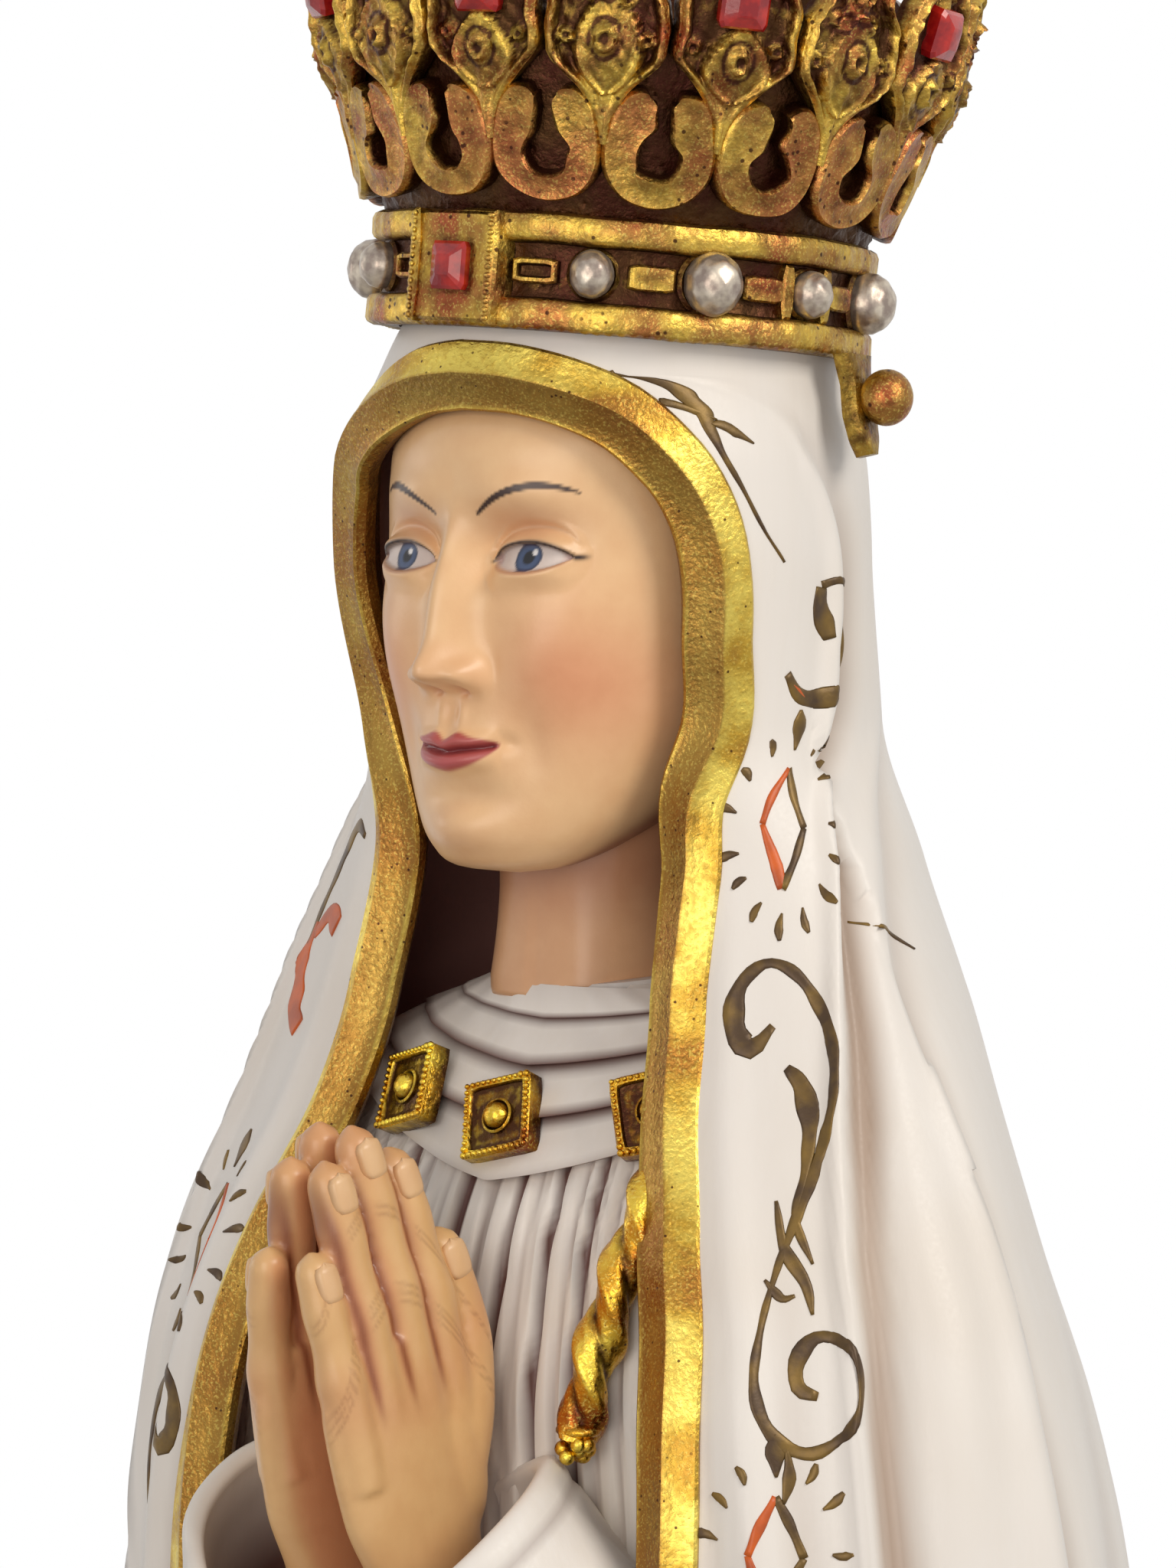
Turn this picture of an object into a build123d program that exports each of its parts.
"""Carved and gilded standing figure of a praying madonna, with a crown that lifts off.

Frame: millimetres, +Z up, the figure looks along -Y, its left hand is at +X.
The origin is the middle of the underside of the plinth.
"""

import math
import os

from build123d import *

# ---------------------------------------------------------------- driving sizes
plinth_length = 250.0
plinth_width = 218.0
plinth_height = 30.0
plinth_corner = 40.0  # how much of each corner the octagon takes off
plinth_step = 7.0  # setback of the upper moulding
cloud_height = 46.0
figure_height = 800.0  # from the hem to the top of the veil
elbow_half_width = 100.0
skirt_half_depth = 68.0
mantle_wall = 6.0
opening_half_width = 50.0  # half the gap between the mantle's front edges, at the sleeves
head_height = 103.0  # from the chin to the crown of the head
head_half_width = 33.5
head_half_depth = 41.0
veil_gap = 5.0  # air between the side of the head and the veil
neck_radius = 17.0
lean_deg = 3.6  # the head leans to the figure's left
fit_gap = 0.3
dowel_radius = 5.0
dowel_length = 34.0
bolt_radius = 5.0
bolt_bite = 70.0  # how far the fixing bolt goes up into the figure
hand_length = 76.0
hand_breadth = 34.0
hand_thickness = 10.0
hand_tilt_deg = 12.5  # the fingers lean forward
palm_gap_deg = 4.0  # the palms part towards the wrists
wrist_radius = 10.0
wrist_length = 24.0
wrist_dowel_radius = 2.5
wrist_dowel_length = 20.0
sleeve_mouth_radius = 22.0
sleeve_wall = 4.0
cord_radius = 3.2
clasp_side = 13.0
clasp_thickness = 3.0
collar_thickness = 2.2
foot_width = 20.0
foot_height = 13.0
star_radius = 10.0

crown_wall = 3.5  # at the bottom of the band's channel
rail_depth = 2.0  # how far the rails stand proud of the channel
band_height = 19.0
rail_height = 4.5
basket_height = 30.0
basket_wall = 2.0
flare_deg = 21.0
scroll_count = 16
scroll_height = 22.0
scroll_width = 14.6
scroll_thickness = 2.6
scroll_bar = 4.0  # width of the flat strip that makes a scroll
leaf_thickness = 2.6
tall_leaf_length = 48.0
short_leaf_length = 37.0
big_pearl_radius = 4.8
small_pearl_radius = 3.6
gem_plate_side = 17.0
arch_width = 5.0
arch_thickness = 3.0
arch_rise = 50.0
orb_radius = 10.0
cross_height = 32.0
crown_lean_deg = 4.6
crown_back_tilt_deg = 3.0
crown_drop = 23.0  # the band's underside lies this far below the top of the veil

# ---------------------------------------------------------------- worked-out heights
figure_foot = plinth_height + cloud_height
veil_top = figure_foot + figure_height
head_top = veil_top - mantle_wall - 2.0
chin_level = head_top - head_height
neck_seat = chin_level - 20.0
shoulder_level = neck_seat - 2.0
hood_half_width = head_half_width + veil_gap + mantle_wall
hood_back = head_half_depth + mantle_wall + 2.5
head_centre_y = 4.0
body_centre_y = 6.0
crown_inner_radius = hood_half_width - 7.5


def level(share):
    """Height of a share of the figure, 0 at the hem and 1 at the top of the veil."""
    return figure_foot + share * figure_height


def face(share):
    """Height of a share of the head, 0 at the chin and 1 at its top."""
    return chin_level + share * head_height


def lean(height):
    """Sideways shift of the neck and head at a height."""
    return math.tan(math.radians(lean_deg)) * max(0.0, height - neck_seat)


# Each station: height, half-width, reach to the front, reach to the back, centre y.
body_stations = [
    (level(0.0), 0.90 * elbow_half_width, skirt_half_depth + 4, skirt_half_depth + 4, body_centre_y),
    (level(0.14), 0.87 * elbow_half_width, skirt_half_depth + 1, skirt_half_depth + 1, body_centre_y),
    (level(0.30), 0.90 * elbow_half_width, skirt_half_depth - 1, skirt_half_depth - 1, body_centre_y),
    (level(0.46), 0.95 * elbow_half_width, skirt_half_depth - 1, skirt_half_depth - 1, body_centre_y),
    (level(0.60), elbow_half_width, skirt_half_depth - 1, skirt_half_depth, body_centre_y),
    (level(0.67), 0.99 * elbow_half_width, skirt_half_depth - 2, skirt_half_depth, body_centre_y),
    (level(0.715), 0.96 * elbow_half_width, skirt_half_depth - 4, skirt_half_depth - 2, body_centre_y),
    (level(0.748), 0.91 * elbow_half_width, skirt_half_depth - 8, skirt_half_depth - 4, body_centre_y),
    (level(0.781), 0.83 * elbow_half_width, skirt_half_depth - 18, skirt_half_depth - 8, body_centre_y),
    (level(0.811), 0.75 * elbow_half_width, skirt_half_depth - 31, skirt_half_depth - 12, body_centre_y),
]
hood_stations = [
    (shoulder_level, 0.66 * elbow_half_width, 31.0, hood_back + 4, 6.0),
    (face(0.0), 0.54 * elbow_half_width, 29.0, hood_back + 1, 6.0),
    (face(0.23), hood_half_width, 36.0, hood_back - 2, 6.0),
    (face(0.49), hood_half_width + 0.5, 44.0, hood_back, 3.0),
    (face(0.65), hood_half_width - 0.5, 43.0, hood_back - 1, 2.0),
    (face(0.79), crown_inner_radius + 2.4, 40.0, 41.5, 1.0),
    (face(0.86), crown_inner_radius + 0.6, 38.0, 39.0, 0.0),
    (face(0.93), crown_inner_radius - 4.0, 33.5, 34.5, 0.0),
    (veil_top - 5.0, 20.0, 21.0, 22.0, 0.0),
    (veil_top, 7.0, 7.0, 8.0, 0.0),
]
mantle_stations = body_stations + hood_stations


def shrink(stations, wall):
    """The stations taken in by a wall all round."""
    return [(h, a - wall, f - wall, b - wall, y) for h, a, f, b, y in stations]


under_mantle = shrink(body_stations, mantle_wall + fit_gap)
tunic_stations = under_mantle[:4] + [
    (level(0.60), under_mantle[4][1], 56.0, under_mantle[4][3], body_centre_y),
    (level(0.64), 0.935 * elbow_half_width - 1, 45.0, under_mantle[5][3] - 1, body_centre_y),
    (level(0.67), under_mantle[5][1] - 1, 43.0, under_mantle[5][3] - 1, body_centre_y),
    (level(0.715), under_mantle[6][1] - 1, 43.0, under_mantle[6][3] - 1, body_centre_y),
    (level(0.748), under_mantle[7][1] - 1, 43.5, under_mantle[7][3] - 1, body_centre_y),
    (level(0.781), under_mantle[8][1] - 1, 39.0, under_mantle[8][3] - 1, body_centre_y),
    (level(0.811), 0.60 * elbow_half_width, 28.0, 40.0, body_centre_y),
    (shoulder_level - 6.0, 0.42 * elbow_half_width, 21.0, 32.0, body_centre_y),
    (neck_seat, neck_radius + 4.0, neck_radius + 2.0, neck_radius + 6.0, head_centre_y),
]


def front_of(stations, height, x=0.0):
    """The y of the front of a stack of stations at a height and a sideways place."""
    for low, high in zip(stations, stations[1:]):
        if low[0] <= height <= high[0]:
            share = (height - low[0]) / (high[0] - low[0])
            _, half, front, _, centre = (p + share * (q - p) for p, q in zip(low, high))
            return centre - front * math.sqrt(1 - (x / half) ** 2)
    raise ValueError(f"no station at height {height}")


def egg_section(height, half_width, front, back, centre_y):
    """One closed section made of two half ellipses, for a loft."""
    with BuildSketch(Plane.XY.offset(height)) as section:
        with BuildLine():
            centre = (lean(height), centre_y)
            EllipticalCenterArc(centre, half_width, back, start_angle=0, arc_size=180)
            EllipticalCenterArc(centre, half_width, front, start_angle=180, arc_size=180)
        make_face()
    return section.sketch


def round_section(plane, radius_x, radius_y):
    """One elliptical section on a plane, for a loft."""
    with BuildSketch(plane) as section:
        Ellipse(radius_x, radius_y)
    return section.sketch


def plate_plane(place, tip_deg):
    """Plane facing the front at a place, tipped back by an angle."""
    tip = math.radians(tip_deg)
    return Plane(origin=place, x_dir=(1, 0, 0), z_dir=(0, -math.cos(tip), math.sin(tip)))


# ---------------------------------------------------------------- crown frame
crown_foot = veil_top - crown_drop
crown_lean = math.radians(crown_lean_deg)
crown_back = math.radians(crown_back_tilt_deg)
crown_frame = Plane(
    origin=(lean(crown_foot), -1.0, crown_foot),
    x_dir=(math.cos(crown_lean), 0, -math.sin(crown_lean)),
    z_dir=(
        math.sin(crown_lean) * math.cos(crown_back),
        math.sin(crown_back),
        math.cos(crown_lean) * math.cos(crown_back),
    ),
)
channel_radius = crown_inner_radius + crown_wall
band_radius = channel_radius + rail_depth
seat_radius = crown_inner_radius - fit_gap
basket_radius = channel_radius + 0.5
flare = math.radians(flare_deg)


def ring_plane(angle_deg, radius, height, tip_deg=0.0):
    """Plane on the crown facing outward, angle 0 at the figure's front.

    Its x runs round the crown, its y runs up, its normal points outward and is tipped
    down by tip_deg, as the outside of a flaring wall is.
    """
    angle = math.radians(angle_deg - 90.0)
    tip = math.radians(tip_deg)
    outward = (math.cos(angle), math.sin(angle))
    origin = crown_frame.from_local_coords(Vector(radius * outward[0], radius * outward[1], height))
    across = crown_frame.from_local_coords(Vector(-outward[1], outward[0], 0)) - crown_frame.origin
    normal = crown_frame.from_local_coords(
        Vector(math.cos(tip) * outward[0], math.cos(tip) * outward[1], -math.sin(tip))
    ) - crown_frame.origin
    return Plane(origin=origin, x_dir=across, z_dir=normal)


# ---------------------------------------------------------------- base
with BuildPart() as plinth:
    with BuildSketch():
        Rectangle(plinth_length, plinth_width)
        chamfer(vertices(), plinth_corner)
    extrude(amount=plinth_height * 0.55)
    with BuildSketch(Plane.XY.offset(plinth_height * 0.55)):
        Rectangle(plinth_length - 2 * plinth_step, plinth_width - 2 * plinth_step)
        chamfer(vertices(), plinth_corner - 0.6 * plinth_step)
    extrude(amount=plinth_height * 0.45)
    chamfer(plinth.faces().sort_by(Axis.Z)[-1].edges(), 3)
    counterbore_radius = 3 * bolt_radius
    counterbore_depth = plinth_height * 0.5
    with Locations((0, body_centre_y, 0)):
        Cylinder(
            counterbore_radius, counterbore_depth,
            align=(Align.CENTER, Align.CENTER, Align.MIN), mode=Mode.SUBTRACT,
        )
        Cylinder(
            bolt_radius + 0.5, plinth_height,
            align=(Align.CENTER, Align.CENTER, Align.MIN), mode=Mode.SUBTRACT,
        )

cloud_half_length = elbow_half_width + 8
cloud_half_width = skirt_half_depth + 20
puff_radius = 0.52 * cloud_height
puff_count = 13
with BuildPart() as cloud_base:
    with BuildSketch(Plane.XY.offset(plinth_height)):
        Ellipse(cloud_half_length - 12, cloud_half_width - 12)
    extrude(amount=cloud_height)
    for index in range(puff_count):
        angle = math.radians(360.0 * index / puff_count + 90)
        grow = 1.0 + 0.12 * math.cos(5 * angle)
        where = (
            (cloud_half_length - 0.95 * puff_radius) * math.cos(angle),
            (cloud_half_width - 0.95 * puff_radius) * math.sin(angle),
            plinth_height + 0.45 * cloud_height,
        )
        with Locations(where):
            Sphere(puff_radius * grow)
    with Locations((0, 0, plinth_height - cloud_height), (0, 0, figure_foot)):
        Box(
            2 * plinth_length, 2 * plinth_width, cloud_height,
            align=(Align.CENTER, Align.CENTER, Align.MIN), mode=Mode.SUBTRACT,
        )
    with Locations((0, body_centre_y, plinth_height)):
        Cylinder(
            bolt_radius + 0.5, cloud_height,
            align=(Align.CENTER, Align.CENTER, Align.MIN), mode=Mode.SUBTRACT,
        )

# ---------------------------------------------------------------- fixing bolt, washer and nut
washer_thickness = 2.0
nut_height = 8.0
with BuildPart() as base_washer:
    with Locations((0, body_centre_y, counterbore_depth - washer_thickness)):
        Cylinder(2.2 * bolt_radius, washer_thickness, align=(Align.CENTER, Align.CENTER, Align.MIN))
        Cylinder(
            bolt_radius + fit_gap, washer_thickness,
            align=(Align.CENTER, Align.CENTER, Align.MIN), mode=Mode.SUBTRACT,
        )

nut_foot = counterbore_depth - washer_thickness - nut_height
with BuildPart() as base_nut:
    with BuildSketch(Plane.XY.offset(nut_foot)):
        with Locations((0, body_centre_y)):
            RegularPolygon(1.6 * bolt_radius, 6, major_radius=False)
            Circle(bolt_radius + 0.05, mode=Mode.SUBTRACT)
    extrude(amount=nut_height)

bolt_foot = nut_foot - 3.0
bolt_top = figure_foot + bolt_bite
with BuildPart() as base_bolt:
    with Locations((0, body_centre_y, bolt_foot)):
        Cylinder(bolt_radius, bolt_top - bolt_foot, align=(Align.CENTER, Align.CENTER, Align.MIN))
    chamfer(base_bolt.edges().filter_by(GeomType.CIRCLE), 0.8)

# ---------------------------------------------------------------- mantle and veil
# Half-width of the front opening, from the hem up and over the forehead.
opening_edge = [
    (level(0.0) - 20, 1.08 * opening_half_width),
    (level(0.14), opening_half_width),
    (level(0.30), 0.92 * opening_half_width),
    (level(0.46), 0.88 * opening_half_width),
    (level(0.62), 0.96 * opening_half_width),
    (level(0.715), opening_half_width),
    (level(0.781), 0.84 * opening_half_width),
    (level(0.811), 0.66 * opening_half_width),
    (shoulder_level, 0.58 * opening_half_width),
    (face(0.0), 0.55 * opening_half_width),
    (face(0.23), head_half_width + 1.5),
    (face(0.46), head_half_width + 4.0),
    (face(0.64), head_half_width - 1.0),
    (face(0.735), 0.62 * head_half_width),
]
arch_top = face(0.775)
with BuildPart() as mantle:
    loft([egg_section(*station) for station in mantle_stations], ruled=True)
    cavity_foot = (level(0.0) - 1.0, *body_stations[0][1:])
    cavity_top = (veil_top - mantle_wall, 18.0, 18.0, 19.5, 0.0)
    cavity_stations = [cavity_foot] + mantle_stations[1:-2] + [cavity_top]
    cavity = [egg_section(*station) for station in shrink(cavity_stations, mantle_wall)]
    loft(cavity, ruled=True, mode=Mode.SUBTRACT)
    with BuildSketch(Plane.XZ.offset(-body_centre_y)):
        with BuildLine():
            edge_right = [(lean(h) - e, h) for h, e in opening_edge]
            edge_left = [(lean(h) + e, h) for h, e in reversed(opening_edge)]
            Spline(*edge_right, (lean(arch_top), arch_top), *edge_left)
            Line(edge_left[-1], edge_right[0])
        make_face()
    extrude(amount=elbow_half_width, mode=Mode.SUBTRACT)
    # The crown's seat: above its ledge the veil is turned down to a spigot.
    with BuildSketch(crown_frame.offset(-fit_gap)):
        Circle(elbow_half_width)
        Circle(seat_radius, mode=Mode.SUBTRACT)
    extrude(amount=crown_drop + band_height, mode=Mode.SUBTRACT)

split_x = hood_half_width + 12.0
with BuildPart() as mantle_center:
    add(mantle.part)
    split(bisect_by=Plane.YZ.offset(split_x), keep=Keep.BOTTOM)
    split(bisect_by=Plane.YZ.offset(-split_x), keep=Keep.TOP)
with BuildPart() as mantle_side_left:
    add(mantle.part)
    split(bisect_by=Plane.YZ.offset(split_x), keep=Keep.TOP)
with BuildPart() as mantle_side_right:
    add(mantle.part)
    split(bisect_by=Plane.YZ.offset(-split_x), keep=Keep.BOTTOM)

# ---------------------------------------------------------------- tunic
with BuildPart() as tunic_block:
    loft([egg_section(*station) for station in tunic_stations], ruled=True)
    with Locations((0, body_centre_y, figure_foot)):
        Cylinder(
            bolt_radius + 0.05, bolt_bite + 5.0,
            align=(Align.CENTER, Align.CENTER, Align.MIN), mode=Mode.SUBTRACT,
        )
    with Locations((0, head_centre_y, neck_seat)):
        Cylinder(
            dowel_radius + 0.1, dowel_length / 2,
            align=(Align.CENTER, Align.CENTER, Align.MAX), mode=Mode.SUBTRACT,
        )

# The yoke of the collar: a V of strips lying on the chest.
collar_low = level(0.80)
with BuildPart() as collar:
    grown = shrink(tunic_stations[-5:-1], -collar_thickness)
    inside = shrink(tunic_stations[-5:-1], -0.15)
    loft([egg_section(*station) for station in grown], ruled=True)
    loft([egg_section(*station) for station in inside], ruled=True, mode=Mode.SUBTRACT)
    with BuildSketch(Plane.XZ.offset(-body_centre_y + 2)):
        with BuildLine():
            Polyline(
                (0, collar_low - 2), (40, collar_low + 15), (44, collar_low + 27), (17, collar_low + 20),
                (0, collar_low + 12), (-17, collar_low + 20), (-44, collar_low + 27),
                (-40, collar_low + 15), (0, collar_low - 2),
            )
        make_face()
    extrude(amount=elbow_half_width, mode=Mode.INTERSECT)

clasp_height = collar_low + 6.0
clasp_out = collar_thickness + 0.6
clasp_side_x = 0.44 * opening_half_width


def clasp(x, height, tip_deg, out):
    """A square gilded clasp with a stud, standing clear of the chest."""
    place = (x, front_of(tunic_stations, height, x) - out, height)
    with BuildPart() as piece:
        with BuildSketch(plate_plane(place, tip_deg)):
            Rectangle(clasp_side, clasp_side, rotation=12)
        extrude(amount=clasp_thickness)
        chamfer(piece.faces().sort_by(Axis.Y)[0].edges(), 0.7)
        with BuildSketch(plate_plane(place, tip_deg).offset(clasp_thickness)):
            Circle(0.2 * clasp_side)
        extrude(amount=1.8)
    return piece.part


with BuildPart() as clasp_center:
    add(clasp(0.0, clasp_height, 24.0, clasp_out + 0.1))
with BuildPart() as clasp_left:
    add(clasp(clasp_side_x, clasp_height + 3.0, 24.0, clasp_out + 1.2))
with BuildPart() as clasp_right:
    add(clasp(-clasp_side_x, clasp_height + 3.0, 24.0, clasp_out + 1.2))

# ---------------------------------------------------------------- sleeves and hands
wrist_height = level(0.72)
wrist_x = wrist_radius + 1.5
wrist_y = front_of(tunic_stations, wrist_height) - 0.5 * hand_breadth - 1.5
wrist = Vector(wrist_x, wrist_y, wrist_height)
elbow = Vector(0.72 * elbow_half_width, -4.0, level(0.605))
forearm = (wrist - elbow).normalized()


def arm_plane(distance):
    """Plane square to the left forearm, a distance past the wrist towards the fingers."""
    return Plane(origin=wrist + forearm * distance, x_dir=(0.8, -0.6, 0.2), z_dir=forearm)


sleeve_outer = sleeve_mouth_radius + sleeve_wall
with BuildPart() as mantle_room:
    wide = [(level(0.46), *body_stations[3][1:])] + body_stations[4:8]
    loft([egg_section(*station) for station in shrink(wide, mantle_wall + fit_gap)], ruled=True)
    with BuildSketch(Plane.XZ.offset(-body_centre_y)):
        with Locations((0, level(0.62))):
            Rectangle(1.76 * opening_half_width, figure_height * 0.4)
    extrude(amount=elbow_half_width)
with BuildPart() as tunic_room:
    loft([egg_section(*station) for station in shrink(tunic_stations, -fit_gap)[2:-2]], ruled=True)
with BuildPart() as sleeve_left:
    reach = (wrist - elbow).length
    loft(
        [
            round_section(arm_plane(-reach), 0.9 * sleeve_outer, 0.9 * sleeve_outer),
            round_section(arm_plane(-0.45 * reach), 0.95 * sleeve_outer, 0.95 * sleeve_outer),
            round_section(arm_plane(3.0), sleeve_outer, 1.04 * sleeve_outer),
        ],
        ruled=True,
    )
    loft(
        [
            round_section(arm_plane(-wrist_length - fit_gap), wrist_radius + 1, wrist_radius + 1),
            round_section(arm_plane(-8.0), sleeve_mouth_radius - 2, sleeve_mouth_radius - 2),
            round_section(arm_plane(3.2), sleeve_mouth_radius, 1.04 * sleeve_mouth_radius),
        ],
        ruled=True,
        mode=Mode.SUBTRACT,
    )
    with BuildSketch(arm_plane(-wrist_length)):
        Circle(wrist_dowel_radius + 0.1)
    extrude(amount=-wrist_dowel_length / 2, mode=Mode.SUBTRACT)
    add(tunic_room.part, mode=Mode.SUBTRACT)
    add(mantle_room.part, mode=Mode.INTERSECT)
    split(bisect_by=Plane.YZ.offset(0.3), keep=Keep.TOP)
    split(bisect_by=Plane.YZ.offset(1.2 * opening_half_width), keep=Keep.BOTTOM)
with BuildPart() as sleeve_right:
    mirror(sleeve_left.part, about=Plane.YZ)

hand_tilt = math.radians(hand_tilt_deg)
palm_gap = math.radians(palm_gap_deg)
finger_dir = Vector(
    -math.sin(palm_gap), -math.sin(hand_tilt) * math.cos(palm_gap), math.cos(hand_tilt) * math.cos(palm_gap)
)
breadth_dir = Vector(0, math.cos(hand_tilt), math.sin(hand_tilt))
palm_start = hand_length * math.sin(palm_gap) + 0.3
palm_plane = Plane(
    origin=(palm_start, wrist_y, wrist_height), x_dir=breadth_dir, z_dir=breadth_dir.cross(finger_dir)
)
half_hand = hand_breadth / 2
with BuildPart() as hand_left:
    with BuildSketch(palm_plane):
        with BuildLine():
            Polyline(
                (-0.66 * half_hand, -6), (0.62 * half_hand, -6), (1.02 * half_hand, 12),
                (half_hand, 0.50 * hand_length), (-0.94 * half_hand, 0.46 * hand_length),
                (-half_hand, 14), (-0.66 * half_hand, -6),
            )
        make_face()
        fingers = ((-0.72, 0.80, 7.4), (-0.26, 0.95, 8.2), (0.24, 1.0, 8.4), (0.72, 0.93, 8.4))
        for across, share, width in fingers:
            with Locations((across * half_hand, hand_length * (share - 0.30))):
                SlotOverall(0.6 * hand_length, width, rotation=90)
        with Locations((1.12 * half_hand, 0.50 * hand_length)):
            SlotOverall(0.50 * hand_length, 8.6, rotation=82)
    extrude(amount=hand_thickness)
    with BuildSketch(arm_plane(-wrist_length)):
        Circle(wrist_radius)
    extrude(amount=wrist_length + 4)
    with BuildSketch(arm_plane(-wrist_length)):
        Circle(wrist_dowel_radius + 0.1)
    extrude(amount=wrist_dowel_length / 2, mode=Mode.SUBTRACT)
    split(bisect_by=Plane.YZ.offset(0.3), keep=Keep.TOP)
with BuildPart() as hand_right:
    mirror(hand_left.part, about=Plane.YZ)
with BuildPart() as wrist_dowel_left:
    with BuildSketch(arm_plane(-wrist_length - wrist_dowel_length / 2)):
        Circle(wrist_dowel_radius)
    extrude(amount=wrist_dowel_length)
with BuildPart() as wrist_dowel_right:
    mirror(wrist_dowel_left.part, about=Plane.YZ)

# ---------------------------------------------------------------- neck cord and its ball
cord_clear = cord_radius + 0.9
cord_places = []
for height, x in ((clasp_height - 8, 31.0), (level(0.781), 30.0), (wrist_height + 22.0, 28.5)):
    cord_places.append(Vector(x, front_of(tunic_stations, height, x - cord_radius) - cord_clear, height))
with BuildPart() as cord_strand:
    for upper, lower in zip(cord_places, cord_places[1:]):
        with BuildSketch(Plane(origin=upper, z_dir=(lower - upper).normalized())):
            Circle(cord_radius)
        extrude(amount=(lower - upper).length)
    with Locations(cord_places[1]):
        Sphere(cord_radius)
    with Locations(cord_places[2]):
        Sphere(1.25 * cord_radius)
with BuildPart() as carved_cord:
    add(cord_strand.part)
    mirror(cord_strand.part, about=Plane.YZ)

ball_radius = 9.0
ball_height = level(0.50)
tassel_top = level(0.575)
ball_y = front_of(tunic_stations, ball_height) - ball_radius - 0.6
tassel_y = front_of(tunic_stations, tassel_top) - cord_radius - 3.0
with BuildPart() as carved_ball:
    with Locations((0, ball_y, ball_height)):
        Sphere(ball_radius)
tassel_foot = Vector(0, ball_y, ball_height + ball_radius + fit_gap)
tassel_head = Vector(0, tassel_y, tassel_top)
with BuildPart() as carved_tail:
    with BuildSketch(Plane(origin=tassel_foot, z_dir=(tassel_head - tassel_foot).normalized())):
        Circle(cord_radius)
    extrude(amount=(tassel_head - tassel_foot).length)

# ---------------------------------------------------------------- star at the hem, and the feet
star_height = level(0.075)
with BuildPart() as hem_star:
    star_rise = front_of(tunic_stations, star_height + 1) - front_of(tunic_stations, star_height)
    star_lean = math.degrees(math.atan(star_rise))
    with BuildSketch(plate_plane((0, front_of(tunic_stations, star_height) - 0.45, star_height), star_lean)):
        with BuildLine():
            corners = []
            for index in range(10):
                reach_out = star_radius if index % 2 == 0 else 0.45 * star_radius
                turn = math.radians(90 + 36 * index)
                corners.append((reach_out * math.cos(turn), reach_out * math.sin(turn)))
            Polyline(*corners, corners[0])
        make_face()
    extrude(amount=2.0)

foot_back = front_of(tunic_stations, figure_foot + 0.01, 0.4 * foot_width) - fit_gap
foot_front = foot_back - 22.0
with BuildPart() as foot_left:
    with BuildSketch(Plane.XY.offset(figure_foot)):
        with Locations((0.9 * foot_width, (foot_back + foot_front) / 2 - 1.5)):
            Rectangle(foot_width, foot_back - foot_front)
        fillet(vertices().sort_by(Axis.Y)[:2], 0.42 * foot_width)
    extrude(amount=foot_height)
    fillet(foot_left.faces().sort_by(Axis.Z)[-1].edges().sort_by(Axis.Y)[0], 4.0)
    with BuildSketch(Plane.XZ.offset(-foot_back)):
        Rectangle(4 * foot_width, 10 * foot_height)
    extrude(amount=-foot_width, mode=Mode.SUBTRACT)
with BuildPart() as foot_right:
    mirror(foot_left.part, about=Plane.YZ)

# ---------------------------------------------------------------- head
head_sections = [
    (face(0.0), 10.0, 9.0, 9.0, -19.0),
    (face(0.05), 17.0, 17.0, 18.0, -14.0),
    (face(0.15), 25.0, 27.0, 27.0, -6.0),
    (face(0.29), 0.93 * head_half_width, 0.85 * head_half_depth, 0.85 * head_half_depth, 1.0),
    (face(0.48), head_half_width, 0.96 * head_half_depth, 0.98 * head_half_depth, 3.0),
    (face(0.66), head_half_width, 0.94 * head_half_depth, 0.90 * head_half_depth, 3.0),
    (face(0.78), 0.90 * head_half_width, 0.76 * head_half_depth, 0.76 * head_half_depth, 2.0),
    (face(0.85), 0.76 * head_half_width, 0.62 * head_half_depth, 0.62 * head_half_depth, 1.0),
    (face(0.93), 0.52 * head_half_width, 0.42 * head_half_depth, 0.42 * head_half_depth, 0.0),
    (face(1.0), 0.18 * head_half_width, 0.14 * head_half_depth, 0.16 * head_half_depth, 0.0),
]
with BuildPart() as head:
    neck = [
        (neck_seat, neck_radius, neck_radius, neck_radius, head_centre_y),
        (chin_level, neck_radius - 1, neck_radius - 1, neck_radius - 1, head_centre_y),
        (face(0.25), neck_radius - 1, neck_radius - 1, neck_radius, head_centre_y),
    ]
    loft([egg_section(*station) for station in neck], ruled=True)
    loft([egg_section(*station) for station in head_sections], ruled=True)
    nose_y = -0.86 * head_half_depth
    nose = [
        (face(0.285), 7.0, 7.0, 6.0, nose_y),
        (face(0.33), 6.5, 10.5, 6.0, nose_y),
        (face(0.55), 3.2, 3.5, 4.0, nose_y),
    ]
    loft([egg_section(*station) for station in nose], ruled=True)
    with Locations((0, head_centre_y, neck_seat)):
        Cylinder(
            dowel_radius + 0.1, dowel_length / 2,
            align=(Align.CENTER, Align.CENTER, Align.MIN), mode=Mode.SUBTRACT,
        )
with BuildPart() as neck_dowel:
    with Locations((0, head_centre_y, neck_seat)):
        Cylinder(dowel_radius, dowel_length - 1)

# ---------------------------------------------------------------- crown: band
with BuildPart() as crown_band:
    with BuildSketch(crown_frame):
        Circle(channel_radius)
    extrude(amount=band_height)
    with BuildSketch(crown_frame, crown_frame.offset(band_height - rail_height)):
        Circle(band_radius)
    extrude(amount=rail_height)
    bar_angles = [15, 47, 73, 100, 128, 153]
    for angle in bar_angles + [360 - a for a in bar_angles]:
        with BuildSketch(ring_plane(angle, channel_radius - 1.2, band_height / 2)):
            Rectangle(0.105 * channel_radius, band_height - 2 * rail_height)
        extrude(amount=2.4)
    with BuildSketch(crown_frame):
        Circle(crown_inner_radius)
    extrude(amount=band_height, mode=Mode.SUBTRACT)

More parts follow.
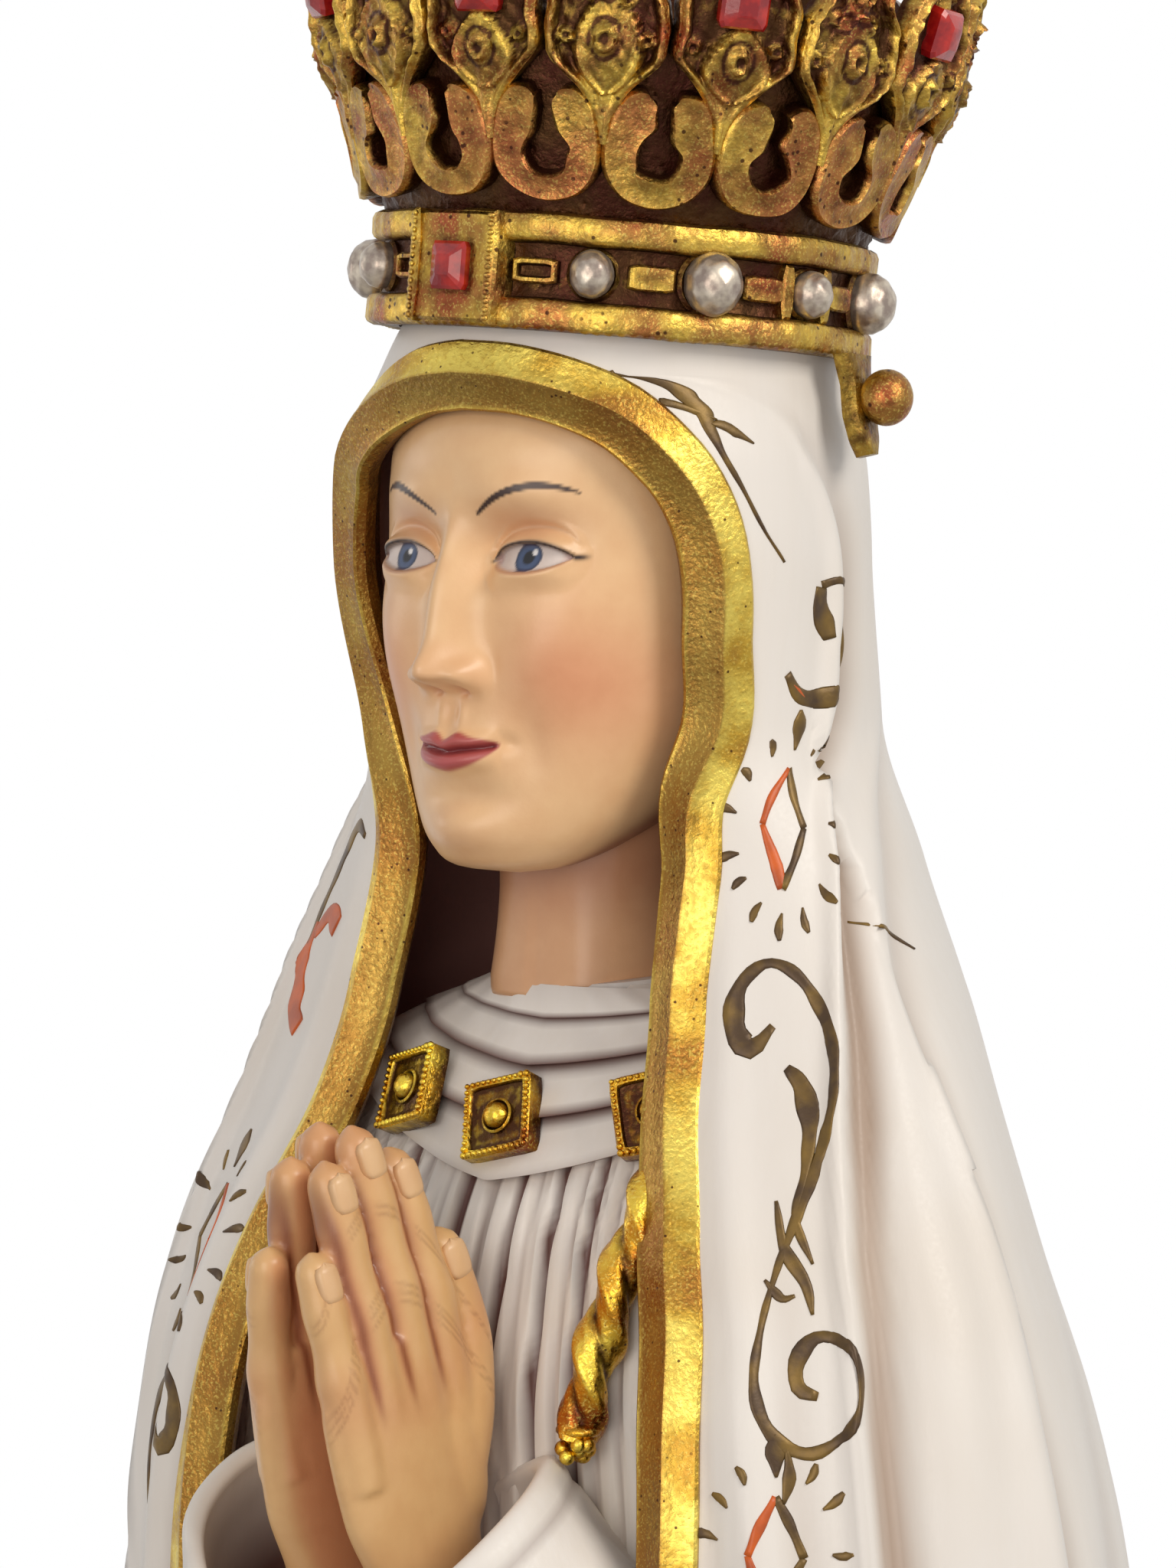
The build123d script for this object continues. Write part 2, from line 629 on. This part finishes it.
pearl_places = ((33, 0), (60, 1), (87, 0), (114, 1), (141, 0))
with BuildPart() as band_pearls:
    for angle, big in pearl_places:
        for turn in (angle, 360 - angle):
            size = big_pearl_radius if big else small_pearl_radius
            with Locations(ring_plane(turn, channel_radius + 0.35 * size, band_height / 2)):
                Sphere(size)
    with BuildSketch(crown_frame.offset(-band_height)):
        Circle(channel_radius + 0.15)
    extrude(amount=3 * band_height, mode=Mode.SUBTRACT)

with BuildPart() as gem_plates:
    for angle in (0, 180):
        with BuildSketch(ring_plane(angle, band_radius + 0.1, band_height / 2)):
            Rectangle(gem_plate_side, gem_plate_side)
        extrude(amount=2.6, taper=12)
with BuildPart() as band_gems:
    for angle in (0, 180):
        seat = ring_plane(angle, band_radius + 2.75, band_height / 2)
        with BuildSketch(seat):
            Rectangle(7.5, 7.5)
        extrude(amount=2.6, taper=45)

# ---------------------------------------------------------------- crown: basket, scrolls, leaves
basket_top_radius = basket_radius + basket_height * math.tan(flare)
with BuildPart() as crown_basket:
    loft(
        [
            round_section(crown_frame.offset(band_height), basket_radius, basket_radius),
            round_section(crown_frame.offset(band_height + basket_height), basket_top_radius, basket_top_radius),
        ],
        ruled=True,
    )
    hollow = basket_radius - basket_wall
    hollow_top = basket_top_radius - basket_wall
    loft(
        [
            round_section(crown_frame.offset(band_height), hollow, hollow),
            round_section(crown_frame.offset(band_height + basket_height), hollow_top, hollow_top),
        ],
        ruled=True,
        mode=Mode.SUBTRACT,
    )


def wall_radius(height):
    """Outer radius of the flaring wall at a height above the band's underside."""
    return basket_radius + (height - band_height) * math.tan(flare)


scroll_middle = band_height + 0.5 * scroll_height * math.cos(flare) + 1.0
scroll_out = (scroll_width / 2) ** 2 / (2 * wall_radius(scroll_middle)) / math.cos(flare) + 0.25
with BuildPart() as crown_scrolls:
    for index in range(scroll_count):
        angle = 360.0 * index / scroll_count
        with BuildSketch(ring_plane(angle, wall_radius(scroll_middle) + scroll_out, scroll_middle, flare_deg)):
            Ellipse(scroll_width / 2, scroll_height / 2)
            Ellipse(scroll_width / 2 - scroll_bar, scroll_height / 2 - scroll_bar, mode=Mode.SUBTRACT)
            with Locations((0, scroll_height / 2)):
                Rectangle(0.26 * scroll_width, 0.7 * scroll_height, mode=Mode.SUBTRACT)
            with Locations((-0.22 * scroll_width, 0.14 * scroll_height), (0.22 * scroll_width, 0.14 * scroll_height)):
                Circle(0.62 * scroll_bar)
        extrude(amount=scroll_thickness)

leaf_root = band_height + 12.0
leaf_clear = (scroll_middle + 0.5 * scroll_height * math.cos(flare) - leaf_root) / math.cos(flare) + 1.0
stem_half = math.pi * wall_radius(scroll_middle + 3) / scroll_count - scroll_width / 2 - 0.25


def leaf_outline(length, half_width):
    """Corner points of a palmette leaf whose root points down between two scrolls."""
    body = length - leaf_clear
    right = [
        (0, 0), (stem_half, 3), (stem_half, leaf_clear - 0.5), (0.9 * half_width, leaf_clear + 0.22 * body),
        (half_width, leaf_clear + 0.42 * body), (0.55 * half_width, leaf_clear + 0.50 * body),
        (0.62 * half_width, leaf_clear + 0.72 * body), (0.25 * half_width, leaf_clear + 0.82 * body),
        (0, length),
    ]
    left = [(-x, y) for x, y in reversed(right[1:-1])]
    return right + left + [right[0]]


def leaf_ring(offset_deg, length, half_width):
    """Eight leaves round the crown."""
    with BuildPart() as ring:
        for index in range(scroll_count // 2):
            angle = offset_deg + 720.0 * index / scroll_count
            with BuildSketch(ring_plane(angle, wall_radius(leaf_root) + 0.5, leaf_root, flare_deg)):
                with BuildLine():
                    Polyline(*leaf_outline(length, half_width))
                make_face()
            extrude(amount=leaf_thickness)
    return ring.part


half_step = 180.0 / scroll_count
with BuildPart() as leaves_tall:
    add(leaf_ring(half_step, tall_leaf_length, 8.2))
with BuildPart() as leaves_short:
    add(leaf_ring(3 * half_step, short_leaf_length, 7.6))
with BuildPart() as leaf_gems:
    gem_up = leaf_clear + 0.36 * (tall_leaf_length - leaf_clear)
    gem_radius_at = wall_radius(leaf_root + gem_up * math.cos(flare))
    for index in range(scroll_count // 2):
        angle = half_step + 720.0 * index / scroll_count
        out = 0.5 + (leaf_thickness + 0.05) / math.cos(flare)
        with BuildSketch(ring_plane(angle, gem_radius_at + out, leaf_root + gem_up * math.cos(flare), flare_deg)):
            Rectangle(6.4, 6.4)
        extrude(amount=2.0, taper=45)

# ---------------------------------------------------------------- crown: arches, orb, cross
arch_foot = band_height + basket_height + 11.0
arch_top_level = arch_foot + arch_rise
arch_foot_radius = wall_radius(arch_foot) + 0.7
hub_radius = 9.0
hub_height = 6.0
arch_line = [
    (arch_foot_radius - 3.2, arch_foot - 6), (arch_foot_radius, arch_foot + 8),
    (0.93 * arch_foot_radius, arch_foot + 0.5 * arch_rise),
    (0.62 * arch_foot_radius, arch_foot + 0.86 * arch_rise),
    (hub_radius - 1.0, arch_top_level),
]
with BuildPart() as crown_arches:
    for index in range(scroll_count // 2):
        angle = half_step + 720.0 * index / scroll_count
        side = ring_plane(angle, 0.0, 0.0)
        rib = Plane(origin=side.origin, x_dir=side.z_dir, z_dir=-side.x_dir)
        with BuildSketch(rib):
            with BuildLine():
                inner = [(r - arch_thickness, h - 0.45 * arch_thickness * (h > arch_foot + 10)) for r, h in arch_line]
                inner[-2] = (inner[-2][0], inner[-2][1] - 0.4 * arch_thickness)
                inner[-1] = (hub_radius - 1.0, arch_top_level - arch_thickness)
                Spline(*arch_line)
                Line(arch_line[-1], inner[-1])
                Spline(*reversed(inner))
                Line(inner[0], arch_line[0])
            make_face()
        extrude(amount=arch_width / 2, both=True)
    with BuildSketch(crown_frame.offset(arch_foot)):
        Circle(hub_radius + 0.15)
    extrude(amount=2 * arch_rise, mode=Mode.SUBTRACT)

with BuildPart() as arch_hub:
    with BuildSketch(crown_frame.offset(arch_top_level - hub_height + 1)):
        Circle(hub_radius)
    extrude(amount=hub_height)
hub_top = arch_top_level + 1.0
with BuildPart() as crown_orb:
    with Locations(crown_frame.offset(hub_top + orb_radius - 0.6)):
        Sphere(orb_radius)
    with BuildSketch(crown_frame.offset(hub_top)):
        Circle(2 * orb_radius)
    extrude(amount=-2 * orb_radius, mode=Mode.SUBTRACT)
orb_top = hub_top + 2 * orb_radius - 0.6
with BuildPart() as crown_cross:
    arm = 5.0
    upright = Plane(
        origin=crown_frame.offset(orb_top + fit_gap).origin, x_dir=crown_frame.x_dir,
        z_dir=-crown_frame.y_dir,
    )
    with BuildSketch(upright):
        with Locations((0, cross_height / 2)):
            Rectangle(arm, cross_height)
        with Locations((0, 0.62 * cross_height)):
            Rectangle(0.68 * cross_height, arm)
    extrude(amount=1.8, both=True)

# ---------------------------------------------------------------- crown: back tabs and their balls
tab_angles = (112.0, 248.0)
tab_flare_deg = 15.0
with BuildPart() as crown_tabs:
    for angle in tab_angles:
        with BuildSketch(ring_plane(angle, band_radius + 0.6, 0.0, -tab_flare_deg)):
            with Locations((0, -8.0)):
                Rectangle(5.0, 16.0)
        extrude(amount=2.4)
with BuildPart() as tab_balls:
    for angle in tab_angles:
        with Locations(ring_plane(angle, band_radius + 9.6, -6.0)):
            Sphere(4.5)

# ---------------------------------------------------------------- write the parts
parts = {
    "plinth": plinth, "cloud_base": cloud_base, "base_washer": base_washer, "base_nut": base_nut,
    "base_bolt": base_bolt, "mantle_center": mantle_center, "mantle_side_left": mantle_side_left,
    "mantle_side_right": mantle_side_right, "tunic_block": tunic_block, "collar": collar,
    "clasp_center": clasp_center, "clasp_left": clasp_left, "clasp_right": clasp_right,
    "sleeve_left": sleeve_left, "sleeve_right": sleeve_right, "hand_left": hand_left,
    "hand_right": hand_right, "wrist_dowel_left": wrist_dowel_left,
    "wrist_dowel_right": wrist_dowel_right, "carved_cord": carved_cord, "carved_ball": carved_ball,
    "carved_tail": carved_tail, "hem_star": hem_star, "foot_left": foot_left, "foot_right": foot_right,
    "head": head, "neck_dowel": neck_dowel, "crown_band": crown_band, "band_pearls": band_pearls,
    "gem_plates": gem_plates, "band_gems": band_gems, "crown_basket": crown_basket,
    "crown_scrolls": crown_scrolls, "leaves_tall": leaves_tall, "leaves_short": leaves_short,
    "leaf_gems": leaf_gems, "crown_arches": crown_arches, "arch_hub": arch_hub,
    "crown_orb": crown_orb, "crown_cross": crown_cross, "crown_tabs": crown_tabs,
    "tab_balls": tab_balls,
}
os.makedirs("parts", exist_ok=True)
for name, piece in parts.items():
    piece.part.label = name
    export_step(piece.part, f"parts/{name}.step")
